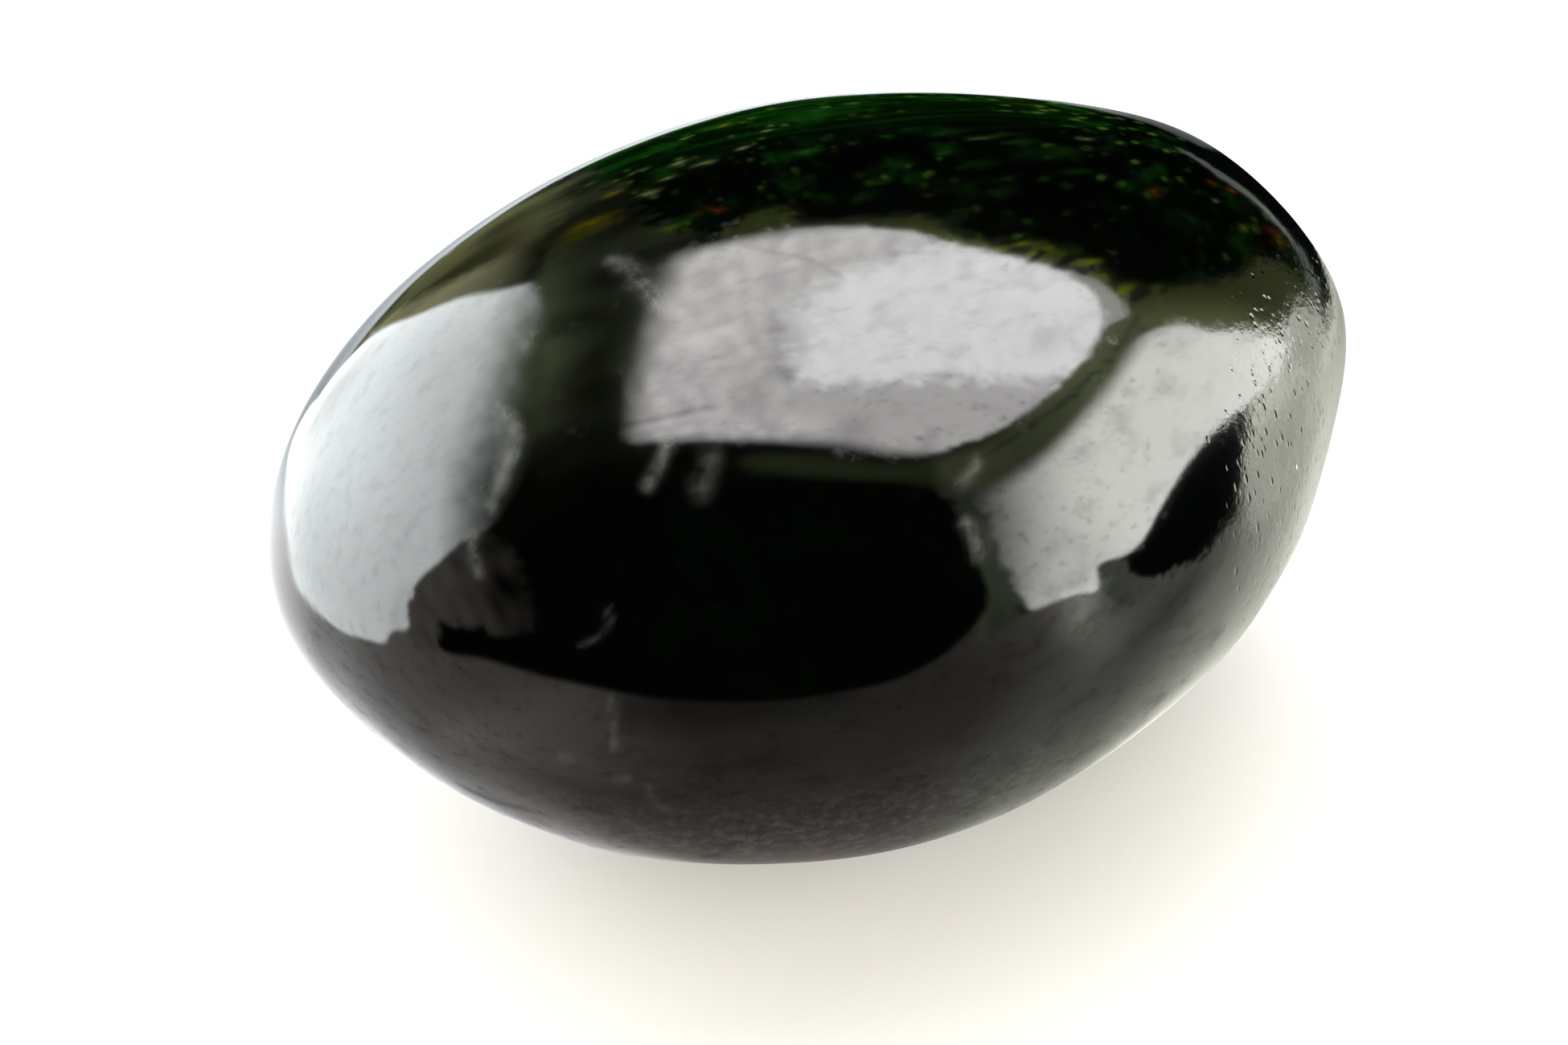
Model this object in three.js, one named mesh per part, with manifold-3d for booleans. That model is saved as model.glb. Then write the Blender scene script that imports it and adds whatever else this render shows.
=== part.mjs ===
// A polished black tourmaline: one smooth pebble, broken from a crystal and tumbled until it was round.
// Millimetres and degrees, +Z up. The pebble lies along X on the small flat that is worn under it. The origin
// is on the surface that it rests on, below the middle of its box.

import * as THREE from 'three';
import { mergeVertices } from 'three/addons/utils/BufferGeometryUtils.js';
import Module from 'manifold-3d';

// The egg-like body before its ends and sides were worn.
const BODY_LENGTH = 30.2;
const BODY_WIDTH = 21.0;
const BODY_HEIGHT = 18.4;

// How much of the underside is worn away to the flat that the pebble rests on.
const FOOT_WEAR = 0.35;

// Places where the surface stands out of the body or dips into it. Azimuth turns from +X towards +Y, and
// elevation rises from the middle's level. Height is how far the surface stands out, and spread is the angle
// over which it fades.
const SWELLINGS = [
  { name: 'shoulder', azimuth: -3, elevation: 23, height: 1.1, spread: 26 },
  { name: 'nose', azimuth: 155, elevation: 0, height: 0.15, spread: 28 },
  { name: 'belly', azimuth: -90, elevation: -47, height: 0.5, spread: 34 },
  { name: 'upper dent on the worn end', azimuth: -40, elevation: 12, height: -0.14, spread: 6 },
  { name: 'lower dent on the worn end', azimuth: -34, elevation: -16, height: -0.12, spread: 5 },
  { name: 'dent behind the shoulder', azimuth: 38, elevation: -8, height: -0.18, spread: 7 },
  { name: 'hollow in the back', azimuth: 122, elevation: 12, height: -0.24, spread: 10 },
  { name: 'dent under the nose', azimuth: -158, elevation: -24, height: -0.14, spread: 6 },
];

// Faces that wear has made nearly flat, with rounded edges. Distance is from the body's middle, and a higher
// sharpness makes a tighter edge.
const WORN_FACES = [
  { name: 'end', azimuth: -42, elevation: -5, distance: 13.0, sharpness: 26 },
  { name: 'far end', azimuth: 12, elevation: 20, distance: 13.4, sharpness: 34 },
  { name: 'crown', azimuth: 51, elevation: 43, distance: 11.2, sharpness: 16 },
  { name: 'heel', azimuth: -166, elevation: -38, distance: 13.1, sharpness: 16 },
  { name: 'back', azimuth: 96, elevation: -8, distance: 10.1, sharpness: 14 },
];

// How many times each edge of the icosahedron under the surface is cut, less one.
const SURFACE_DETAIL = 18;

// The unit vector that points at an azimuth and an elevation.
function pointing({ azimuth, elevation }) {
  const turn = THREE.MathUtils.degToRad(azimuth);
  const rise = THREE.MathUtils.degToRad(elevation);
  return new THREE.Vector3(Math.cos(turn) * Math.cos(rise), Math.sin(turn) * Math.cos(rise), Math.sin(rise));
}

// How far the pebble's surface is from the body's middle in the direction of a unit vector. The ellipsoid's
// own radius comes first, then the swellings are added to it, each one a bell curve of the angle to its
// middle. Each worn face then cuts it by a power mean, which is a soft form of taking the nearer of the two.
function surfaceRadius(direction) {
  const body = new THREE.Vector3(BODY_LENGTH / 2, BODY_WIDTH / 2, BODY_HEIGHT / 2);
  let radius = 1 / direction.clone().divide(body).length();
  for (const swelling of SWELLINGS) {
    const away = direction.angleTo(pointing(swelling)) / THREE.MathUtils.degToRad(swelling.spread);
    radius += swelling.height * Math.exp(-away * away);
  }
  for (const face of WORN_FACES) {
    const slope = Math.max(direction.dot(pointing(face)), 0);
    const cut = (slope * radius / face.distance) ** face.sharpness;
    radius *= (1 + cut) ** (-1 / face.sharpness);
  }
  return radius;
}

// The pebble's closed surface round the body's middle, before its foot is worn flat.
function roundSurface() {
  const sphere = new THREE.IcosahedronGeometry(1, SURFACE_DETAIL);
  sphere.deleteAttribute('normal');
  sphere.deleteAttribute('uv');
  const surface = mergeVertices(sphere);
  const points = surface.getAttribute('position');
  const point = new THREE.Vector3();
  for (let i = 0; i < points.count; i += 1) {
    point.fromBufferAttribute(points, i).normalize();
    point.multiplyScalar(surfaceRadius(point));
    points.setXYZ(i, point.x, point.y, point.z);
  }
  return surface;
}

// A solid made from a closed geometry.
function solidFrom(wasm, geometry) {
  const source = geometry.clone();
  source.deleteAttribute('normal');
  source.deleteAttribute('uv');
  const closed = mergeVertices(source);
  return new wasm.Manifold(new wasm.Mesh({
    numProp: 3,
    vertProperties: new Float32Array(closed.getAttribute('position').array),
    triVerts: new Uint32Array(closed.getIndex().array),
  }));
}

// The geometry of a solid.
function geometryFrom(solid) {
  const mesh = solid.getMesh();
  const geometry = new THREE.BufferGeometry();
  geometry.setAttribute('position', new THREE.BufferAttribute(new Float32Array(mesh.vertProperties), 3));
  geometry.setIndex(new THREE.BufferAttribute(new Uint32Array(mesh.triVerts), 1));
  return geometry;
}

// The whole pebble: the round surface cut off flat at its foot, then set down on the origin's level.
function pebbleGeometry(wasm) {
  const surface = roundSurface();
  surface.computeBoundingBox();
  const footLevel = surface.boundingBox.min.z + FOOT_WEAR;
  const reach = 2 * BODY_LENGTH;
  const above = new THREE.BoxGeometry(reach, reach, reach);
  above.translate(0, 0, footLevel + reach / 2);
  const pebble = geometryFrom(solidFrom(wasm, surface).intersect(solidFrom(wasm, above)));
  pebble.computeBoundingBox();
  const middle = pebble.boundingBox.getCenter(new THREE.Vector3());
  pebble.translate(-middle.x, -middle.y, -footLevel);
  pebble.computeVertexNormals();
  return pebble;
}

const wasm = await Module();
wasm.setup();

const polishedTourmaline = new THREE.MeshStandardMaterial({ color: 0x0b0d0b, roughness: 0.12, metalness: 0 });

const pebble = new THREE.Mesh(pebbleGeometry(wasm), polishedTourmaline);
pebble.name = 'tourmaline_pebble';

const stone = new THREE.Group();
stone.add(pebble);

export default stone;
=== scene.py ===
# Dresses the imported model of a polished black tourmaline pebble, and lights it as in a small light tent.

import math

import bpy
import numpy as np
from mathutils import Matrix, Vector


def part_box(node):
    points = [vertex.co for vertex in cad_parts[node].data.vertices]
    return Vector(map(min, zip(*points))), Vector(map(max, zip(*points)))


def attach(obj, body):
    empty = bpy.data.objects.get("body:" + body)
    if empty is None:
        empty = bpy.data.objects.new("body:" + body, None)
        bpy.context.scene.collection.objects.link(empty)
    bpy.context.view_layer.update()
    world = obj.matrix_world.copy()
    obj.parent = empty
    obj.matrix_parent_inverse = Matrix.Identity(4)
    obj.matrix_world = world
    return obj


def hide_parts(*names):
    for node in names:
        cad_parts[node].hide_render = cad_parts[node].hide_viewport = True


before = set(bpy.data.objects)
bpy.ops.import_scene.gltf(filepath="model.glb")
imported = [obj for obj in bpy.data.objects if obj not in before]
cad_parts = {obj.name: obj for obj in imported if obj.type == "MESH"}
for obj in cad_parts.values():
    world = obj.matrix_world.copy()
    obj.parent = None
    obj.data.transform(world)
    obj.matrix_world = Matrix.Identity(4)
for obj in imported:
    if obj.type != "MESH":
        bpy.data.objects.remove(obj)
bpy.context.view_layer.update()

# The view: a long lens above the front of the pebble, a little to its left. The frame is in metres, so
# lengths in the whole script are given in millimetres and multiplied by MM. Only the lens and its sensor
# stay in plain millimetres, as Blender takes them.
MM = 0.001
VIEW_AZIMUTH = -27.0
VIEW_ELEVATION = 40.0
LENS = 100.0
SENSOR_WIDTH = 36.0
VIEW_DISTANCE = 115.8 * MM
BODY_MIDDLE = Vector((0.08, 0.31, 8.97)) * MM
AIM_LEFT = 1.0 * MM
AIM_DOWN = 1.53 * MM
NEAREST_SEEN = 1.0 * MM
FARTHEST_SEEN = 5000 * MM

turn = math.radians(VIEW_AZIMUTH)
rise = math.radians(VIEW_ELEVATION)
view_right = Vector((math.cos(turn), math.sin(turn), 0.0))
view_back = Vector((math.sin(turn) * math.cos(rise), -math.cos(turn) * math.cos(rise), math.sin(rise)))
view_up = view_back.cross(view_right)
aim = BODY_MIDDLE - AIM_LEFT * view_right - AIM_DOWN * view_up

camera_data = bpy.data.cameras.new("long_lens")
camera_data.lens = LENS
camera_data.sensor_width = SENSOR_WIDTH
camera_data.sensor_fit = "HORIZONTAL"
camera_data.clip_start = NEAREST_SEEN
camera_data.clip_end = FARTHEST_SEEN
camera = bpy.data.objects.new("camera", camera_data)
bpy.context.scene.collection.objects.link(camera)
camera.matrix_world = Matrix.Translation(aim + VIEW_DISTANCE * view_back) @ Matrix(
    (view_right, view_up, view_back)
).transposed().to_4x4()
bpy.context.scene.camera = camera

# The pebble: one piece of black tourmaline, broken from a crystal, tumbled until it was round and
# polished to a deep gloss. One end has taken the knocks, so it is flatter, duller and finely pitted, and
# a few short scuffs cross the polish. It lies loose on a small flat that is worn under it.
BODY_HALF = np.array([30.2, 21.0, 18.4]) * MM / 2
FOOT_WEAR = 0.35 * MM

# Azimuth and elevation in degrees, height in millimetres, and the spread in degrees.
SWELLINGS = {
    "shoulder": (-3, 23, 1.1, 26),
    "nose": (155, 0, 0.15, 28),
    "belly": (-90, -47, 0.5, 34),
    "upper dent on the worn end": (-40, 12, -0.14, 6),
    "lower dent on the worn end": (-34, -16, -0.12, 5),
    "dent behind the shoulder": (38, -8, -0.18, 7),
    "hollow in the back": (122, 12, -0.24, 10),
    "dent under the nose": (-158, -24, -0.14, 6),
}

# Azimuth and elevation in degrees, distance from the body's middle in millimetres, and the edge's
# sharpness.
WORN_FACES = {
    "end": (-42, -5, 13.0, 26),
    "far end": (12, 20, 13.4, 34),
    "crown": (51, 43, 11.2, 16),
    "heel": (-166, -38, 13.1, 16),
    "back": (96, -8, 10.1, 14),
}

# Cells along each side of the cube that the pebble's grid is blown up from.
GRID_CELLS = 128

# The polish is not quite even: slow and quick ripples, as a wavelength and a height in millimetres. Each
# is a sum of waves whose lengths spread round that wavelength, as shares of it.
RIPPLES = {"slow": (4.5, 0.0050), "quick": (1.6, 0.0008)}
WAVES_IN_RIPPLES = 36
WAVELENGTH_SPREAD = (0.75, 1.35)

# The worn end's middle as azimuth and elevation, and its half width, in degrees. The wear inside it is
# even, and falls off quickly at its edge, with this power of the angle.
WORN_END = (-29, 4)
WORN_END_SPREAD = 27
WORN_END_POWER = 4

# Pits that the knocks have left, mostly on the worn end: how many, how far they scatter from its middle
# as a share of the radius, and their half widths in millimetres, lengths in half widths, and depths in
# millimetres.
PIT_COUNTS = {"worn end": 90, "rest of the surface": 20}
PIT_SCATTER = 0.24
PIT_HALF_WIDTH = (0.14, 0.26)
PIT_STRETCH = (1.0, 2.4)
PIT_DEPTH = (0.001, 0.004)

# Scuffs in the polish: points on the surface as azimuth and elevation, half width in millimetres,
# strength.
SCUFFS = {
    "down the left, upper part": (
        [(-170, 34), (-167, 34), (-164, 32.5), (-163, 30), (-162, 27)], 0.17, 1.0,
    ),
    "down the left, lower part": ([(-161.5, 22), (-160.5, 20), (-159, 18.7)], 0.14, 0.8),
    "high on the left, flat part": ([(177, 56), (-175, 57.3), (-168, 56.3)], 0.24, 1.0),
    "high on the left, steep part": ([(-168, 56.3), (-165, 56), (-162.5, 55.5)], 0.22, 1.1),
    "by the left panel": ([(-175, 41), (-176.5, 42.4)], 0.14, 0.6),
    "front, left one": ([(-143.4, 38.5), (-143.6, 36), (-144, 33.5)], 0.15, 1.0),
    "front, right one": ([(-136.2, 38.5), (-136.4, 34.5)], 0.26, 0.5),
    "front, near the worn end": ([(-89, 36.5), (-91, 35.2), (-93.6, 34)], 0.15, 1.0),
    "under that one": ([(-94.3, 28.7), (-93.3, 26.4), (-93.2, 24)], 0.17, 1.0),
    "low on the front": ([(-142, 9), (-141.3, 6), (-141, 2)], 0.10, 0.35),
    "spot below it": ([(-140.8, -2.6), (-140, -2.3)], 0.16, 0.40),
    "spot to its left": ([(-146.3, 0.3), (-146, 0)], 0.16, 0.35),
    "spots to its right": ([(-137.7, -3.8), (-137.2, -6.9), (-135, -9)], 0.13, 0.25),
    "curl on the front": ([(-144, 19), (-143.3, 17.6), (-143.7, 16), (-145.7, 14.4)], 0.08, 0.25),
    "upper fleck on the worn end": ([(-33, 18.3), (-30.6, 17.4)], 0.10, 1.0),
    "lower fleck on the worn end": ([(-32.8, 16), (-30.2, 16.4)], 0.10, 1.0),
    "high fleck on the worn end": ([(-29, 20.6), (-27, 19.5)], 0.10, 0.6),
    "bright chip on the worn end": ([(-37.6, 8.3), (-37.4, 8)], 0.11, 1.6),
    "back of the nose, upper": ([(146, 31.3), (147, 33)], 0.14, 0.7),
    "back of the nose, lower": ([(138, 8), (141, 3), (140, -4)], 0.12, 0.7),
    "on the back": ([(70, 30), (76, 27), (80, 22)], 0.15, 1.0),
    "back, low": ([(104, -14), (98, -17), (95, -22)], 0.14, 0.8),
}


def pointing(azimuth, elevation):
    """The unit vector at an azimuth, which turns from +X towards +Y, and an elevation, both in degrees."""
    around = np.radians(azimuth)
    above = np.radians(elevation)
    return np.array([np.cos(around) * np.cos(above), np.sin(around) * np.cos(above), np.sin(above)])


def ball_grid(cells):
    """Unit vectors and four-cornered faces of a cube that is blown up to a ball. Each side of the cube is
    a grid whose lines are at equal angles, at the tangents of minus to plus 45 degrees. Shared edges are
    merged."""
    line = np.tan(np.linspace(-np.pi / 4, np.pi / 4, cells + 1))
    u, v = np.meshgrid(line, line, indexing="ij")
    one = np.ones_like(u)
    sides = [(one, u, v), (-one, -u, v), (-u, one, v), (u, -one, v), (u, v, one), (u, -v, -one)]
    points = np.concatenate([np.stack(side, axis=-1).reshape(-1, 3) for side in sides])
    points /= np.linalg.norm(points, axis=1)[:, None]
    number = np.arange(len(points)).reshape(len(sides), cells + 1, cells + 1)
    corners = [number[:, :-1, :-1], number[:, 1:, :-1], number[:, 1:, 1:], number[:, :-1, 1:]]
    faces = np.stack(corners, axis=-1).reshape(-1, 4)
    _, first, place = np.unique(np.round(points, 8), axis=0, return_index=True, return_inverse=True)
    return points[first], place.reshape(-1)[faces]


def round_radius(heading):
    """How far the pebble's round surface is from the body's middle, along unit vectors. It is the
    ellipsoid's radius plus a bell curve of the angle to each swelling. Each worn face then cuts it by a
    power mean, a soft form of taking the nearer of the two."""
    radius = 1 / np.linalg.norm(heading / BODY_HALF, axis=1)
    for azimuth, elevation, height, spread in SWELLINGS.values():
        angle = np.arccos(np.clip(heading @ pointing(azimuth, elevation), -1, 1))
        radius += height * MM * np.exp(-((np.degrees(angle) / spread) ** 2))
    for azimuth, elevation, distance, sharpness in WORN_FACES.values():
        slope = np.maximum(heading @ pointing(azimuth, elevation), 0)
        radius *= (1 + (slope * radius / (distance * MM)) ** sharpness) ** (-1 / sharpness)
    return radius


def rippling(places, wavelength, dice):
    """A height with a mean square of one: a sum of plane waves of about that wavelength, in directions and
    with phases that the dice give."""
    along = dice.normal(size=(WAVES_IN_RIPPLES, 3))
    along /= np.linalg.norm(along, axis=1)[:, None]
    per_metre = 2 * np.pi / (wavelength * dice.uniform(*WAVELENGTH_SPREAD, WAVES_IN_RIPPLES))
    phase = dice.uniform(0, 2 * np.pi, WAVES_IN_RIPPLES)
    waves = np.cos(places @ (along * per_metre[:, None]).T + phase)
    return waves.sum(axis=1) * np.sqrt(2 / WAVES_IN_RIPPLES)


def pit_depth(places, middle, half_width, stretch, depth):
    """The depth of one pit: a bell curve that is stretched along the ring round the pebble's long axis."""
    ring = np.cross([1.0, 0.0, 0.0], middle)
    ring /= np.linalg.norm(ring)
    apart = places - middle
    lengthways = apart @ ring
    sideways = np.maximum((apart ** 2).sum(axis=1) - lengthways ** 2, 0)
    return depth * np.exp(-sideways / half_width ** 2 - (lengthways / (half_width * stretch)) ** 2)


def line_distance(places, line):
    """How far each place is from the nearest stretch of a line of points."""
    nearest = np.full(len(places), np.inf)
    for start, end in zip(line[:-1], line[1:]):
        stretch = end - start
        part = np.clip((places - start) @ stretch / (stretch @ stretch), 0, 1)
        nearest = np.minimum(nearest, np.linalg.norm(places - start - part[:, None] * stretch, axis=1))
    return nearest


def make_object(name, places, faces):
    """A mesh object at the origin from an array of points and an array of faces."""
    mesh = bpy.data.meshes.new(name)
    mesh.from_pydata(places.tolist(), [], faces.tolist())
    mesh.shade_smooth()
    thing = bpy.data.objects.new(name, mesh)
    bpy.context.scene.collection.objects.link(thing)
    return thing


def give_values(thing, name, values):
    """Puts one number for each point of a mesh into an attribute."""
    thing.data.attributes.new(name, "FLOAT", "POINT").data.foreach_set("value", values.astype(np.float32))


ball, pebble_faces = ball_grid(GRID_CELLS)
heading = ball * BODY_HALF
heading /= np.linalg.norm(heading, axis=1)[:, None]
plain_radius = round_radius(heading)
round_places = heading * plain_radius[:, None]
foot_level = round_places[:, 2].min() + FOOT_WEAR

worn_angle = np.degrees(np.arccos(np.clip(heading @ pointing(*WORN_END), -1, 1)))
wear = np.exp(-((worn_angle / WORN_END_SPREAD) ** WORN_END_POWER))

STONE_SEED = 31
dice = np.random.default_rng(STONE_SEED)
radius = plain_radius.copy()
for wavelength, height in RIPPLES.values():
    radius += height * MM * rippling(round_places, wavelength * MM, dice)

pit_middles = []
for _ in range(PIT_COUNTS["worn end"]):
    pit_middles.append(pointing(*WORN_END) + dice.normal(0, PIT_SCATTER, 3))
for _ in range(PIT_COUNTS["rest of the surface"]):
    pit_middles.append(dice.normal(size=3))
for toward in pit_middles:
    toward = toward / np.linalg.norm(toward)
    middle = toward * round_radius(toward[None, :])[0]
    half_width = dice.uniform(*PIT_HALF_WIDTH) * MM
    stretch = dice.uniform(*PIT_STRETCH)
    depth = dice.uniform(*PIT_DEPTH) * MM
    radius -= pit_depth(round_places, middle, half_width, stretch, depth)

scuff = np.zeros(len(heading))
for line, half_width, strength in SCUFFS.values():
    points = np.array([pointing(*spot) for spot in line])
    points *= round_radius(points)[:, None]
    fading = np.exp(-((line_distance(round_places, points) / (half_width * MM)) ** 2))
    scuff = np.maximum(scuff, strength * fading)

# The foot: below the middle, no point goes deeper than the level that the stone is worn down to.
LEAST_DOWNWARD = -0.01
downward = np.minimum(heading[:, 2], LEAST_DOWNWARD)
radius = np.where(heading[:, 2] < 0, np.minimum(radius, foot_level / downward), radius)
pebble_places = heading * radius[:, None]
pebble_middle = (pebble_places.min(axis=0) + pebble_places.max(axis=0)) / 2
low_corner, high_corner = (np.array(corner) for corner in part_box("tourmaline_pebble"))
box_middle = (low_corner + high_corner) / 2
to_box_middle = box_middle - pebble_middle
pebble_places += [to_box_middle[0], to_box_middle[1], low_corner[2] - foot_level]

pebble = make_object("polished_pebble", pebble_places, pebble_faces)
give_values(pebble, "wear", wear)
give_values(pebble, "scuff", scuff)


class Nodes:
    """Adds nodes to a material and joins them."""

    def __init__(self, tree):
        self.tree = tree
        self.tree.nodes.clear()

    def add(self, kind, inputs=None, **settings):
        """A node of that kind, with its settings. An input is known by its name or number, and takes a
        value or another node's output."""
        added = self.tree.nodes.new(kind)
        for name, value in settings.items():
            setattr(added, name, value)
        for name, value in (inputs or {}).items():
            if isinstance(value, bpy.types.NodeSocket):
                self.tree.links.new(value, added.inputs[name])
            else:
                added.inputs[name].default_value = value
        return added

    def calculate(self, operation, *values):
        """The output of a math node."""
        return self.add("ShaderNodeMath", dict(enumerate(values)), operation=operation).outputs[0]

    def product(self, first, second):
        """One value times another."""
        return self.calculate("MULTIPLY", first, second)

    def raised(self, base, value, amount):
        """A base value with so much of another value added to it."""
        return self.calculate("MULTIPLY_ADD", value, amount, base)

    def ramp(self, value, low, high, to_low=0.0, to_high=1.0):
        """A value carried smoothly from one range to another."""
        inputs = {"Value": value, "From Min": low, "From Max": high, "To Min": to_low, "To Max": to_high}
        return self.add("ShaderNodeMapRange", inputs, interpolation_type="SMOOTHSTEP").outputs[0]

    def blend(self, share, first, second):
        """The first colour turned into the second one by a share."""
        return self.add("ShaderNodeMix", {0: share, 6: first, 7: second}, data_type="RGBA").outputs[2]

    def noise(self, place, per_metre, detail, roughness):
        """Cloudy noise: how many clouds in a metre, how many finer layers, and how strong those are."""
        inputs = {"Vector": place, "Scale": per_metre, "Detail": detail, "Roughness": roughness}
        return self.add("ShaderNodeTexNoise", inputs).outputs["Fac"]


# The stone itself: near-black, with a little bottle green and brown in it that hardly shows. Here and
# below, a noise is given as its clouds in a metre, its finer layers, and how strong those are.
BLACK = (0.00025, 0.00030, 0.00025, 1.0)
BOTTLE_GREEN = (0.0003, 0.0010, 0.0004, 1.0)
BROWN = (0.0010, 0.0007, 0.0004, 1.0)
STONE_IOR = 1.63
CLOUDS = (260, 3.0, 0.5)
STREAKS = (1300, 3.0, 0.6)

polish = bpy.data.materials.new("polished_black_tourmaline")
polish.use_nodes = True
stone = Nodes(polish.node_tree)
place = stone.add("ShaderNodeTexCoord").outputs["Object"]
worn = stone.add("ShaderNodeAttribute", attribute_name="wear").outputs["Fac"]
scuffed = stone.add("ShaderNodeAttribute", attribute_name="scuff").outputs["Fac"]

clouds = stone.noise(place, *CLOUDS)
streaks = stone.noise(place, *STREAKS)
green_share = stone.product(stone.ramp(clouds, 0.45, 0.68), stone.ramp(streaks, 0.42, 0.62))
brown_share = stone.product(stone.ramp(clouds, 0.48, 0.32), stone.ramp(streaks, 0.56, 0.70))
colour = stone.blend(green_share, BLACK, BOTTLE_GREEN)
colour = stone.blend(brown_share, colour, BROWN)

# A film of fine dust is left low on the stone and on the worn end, in small flecks.
DUSTY = (0.034, 0.032, 0.029, 1.0)
DUST_FLECKS = (3400, 4.0, 0.72)
NO_DUST_ABOVE = 8.5 * MM
FULL_DUST_BELOW = 4.0 * MM
DUST_ON_WORN_END = 0.7

above_table = stone.add("ShaderNodeSeparateXYZ", {"Vector": place}).outputs["Z"]
low_dust = stone.ramp(above_table, NO_DUST_ABOVE, FULL_DUST_BELOW)
end_dust = stone.ramp(worn, 0.75, 1.0, 0.0, DUST_ON_WORN_END)
dust_flecks = stone.ramp(stone.noise(place, *DUST_FLECKS), 0.42, 0.74)
dust = stone.product(dust_flecks, stone.calculate("MAXIMUM", low_dust, end_dust))
colour = stone.blend(dust, colour, DUSTY)

# Scuffs are softly broken up by a noise, so they look crumbled and not drawn. The deepest ones are chips.
SCUFFED = (0.048, 0.049, 0.045, 1.0)
CHIPPED = (0.60, 0.60, 0.62, 1.0)
CRUMBS = (1900, 3.0, 0.6)

crumbs = stone.noise(place, *CRUMBS)
broken_scuff = stone.product(scuffed, stone.ramp(crumbs, 0.12, 0.72))
colour = stone.blend(stone.calculate("MINIMUM", broken_scuff, 1.0), colour, SCUFFED)
colour = stone.blend(stone.ramp(scuffed, 1.05, 1.55), colour, CHIPPED)

# The polish dulls in soft freckles, on the worn end and in the scuffs.
POLISH_ROUGHNESS = 0.06
FRECKLE_ROUGHNESS = 0.16
WORN_ROUGHNESS = 0.08
SCUFF_ROUGHNESS = 0.20
FRECKLES = (1700, 4.0, 0.65)
FRECKLED_PATCHES = (420, 3.0, 0.5)

freckles = stone.ramp(stone.noise(place, *FRECKLES), 0.50, 0.78)
freckled_patches = stone.ramp(stone.noise(place, *FRECKLED_PATCHES), 0.36, 0.62)
roughness = stone.raised(POLISH_ROUGHNESS, stone.product(freckles, freckled_patches), FRECKLE_ROUGHNESS)
roughness = stone.raised(roughness, worn, WORN_ROUGHNESS)
roughness = stone.raised(roughness, broken_scuff, SCUFF_ROUGHNESS)

# The skin of the polish: a faint orange peel, and on the worn end grain, pocks and many pinholes, which
# are rare elsewhere. Pinholes are drawn out up and down, because the pebble has rolled round its long
# axis. The relief is in millimetres.
PEEL = (2100, 2.0, 0.5)
GRAIN = (4200, 3.0, 0.6)
POCKS = (1500, 3.0, 0.55)
PINHOLES_IN_A_METRE = 6400.0
PINHOLE_DRAWN_OUT = (1.0, 1.0, 0.34)
PINHOLE_RARITY = {"polished": 0.985, "worn": 0.42}
RELIEF = {"peel": 0.0006, "grain": 0.018, "pocks": 0.022, "pinholes": -0.016, "crumbs": 0.005}

drawn_out = stone.add("ShaderNodeMapping", {"Vector": place, "Scale": PINHOLE_DRAWN_OUT}).outputs[0]
pinholes = stone.add("ShaderNodeTexVoronoi", {"Vector": drawn_out, "Scale": PINHOLES_IN_A_METRE})
rarity = stone.ramp(worn, 0.0, 1.0, PINHOLE_RARITY["polished"], PINHOLE_RARITY["worn"])
open_pinhole = stone.ramp(pinholes.outputs["Color"], rarity, stone.calculate("ADD", rarity, 0.30))
pinhole = stone.product(stone.ramp(pinholes.outputs["Distance"], 0.50, 0.10), open_pinhole)
rough_end = stone.product(worn, worn)
skin = stone.product(stone.noise(place, *PEEL), RELIEF["peel"])
skin = stone.raised(skin, stone.product(stone.noise(place, *GRAIN), rough_end), RELIEF["grain"])
skin = stone.raised(skin, stone.product(stone.noise(place, *POCKS), rough_end), RELIEF["pocks"])
skin = stone.raised(skin, pinhole, RELIEF["pinholes"])
skin = stone.raised(skin, stone.product(crumbs, broken_scuff), RELIEF["crumbs"])
bump = stone.add("ShaderNodeBump", {"Strength": 1.0, "Distance": MM, "Height": skin}).outputs["Normal"]

surface = stone.add("ShaderNodeBsdfPrincipled", {
    "Base Color": colour, "Roughness": roughness, "IOR": STONE_IOR, "Normal": bump,
})
stone.add("ShaderNodeOutputMaterial", {"Surface": surface.outputs[0]})
pebble.data.materials.append(polish)

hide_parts("tourmaline_pebble")
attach(pebble, "root")

# The table: a plain round sheet of pale board. It isn't part of the object. Far from the pebble it glows
# softly, so that it ends in white whatever the view. Its innermost ring is a share of its radius.
TABLE_RADIUS = 600 * MM
TABLE_RINGS = 24
TABLE_SECTORS = 96
INNERMOST_RING = 0.002
WHITE = (1.0, 1.0, 1.0, 1.0)
TABLE_PAPER = (0.80, 0.79, 0.77, 1.0)
GLOW_START = 70 * MM
GLOW_END = 170 * MM


def round_sheet(radius, rings, sectors):
    """Points and faces of a flat round sheet: rings at even distances and sectors at even angles. The
    first ring is so small that the pebble hides the hole in it."""
    distances = np.linspace(INNERMOST_RING, 1, rings) * radius
    angles = np.linspace(0, 2 * np.pi, sectors, endpoint=False)
    far, around = np.meshgrid(distances, angles, indexing="ij")
    level = np.zeros_like(far)
    points = np.stack([far * np.cos(around), far * np.sin(around), level], axis=-1).reshape(-1, 3)
    number = np.arange(rings * sectors).reshape(rings, sectors)
    beside = np.roll(number, -1, axis=1)
    faces = np.stack([number[:-1], number[1:], beside[1:], beside[:-1]], axis=-1).reshape(-1, 4)
    return points, faces


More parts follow.
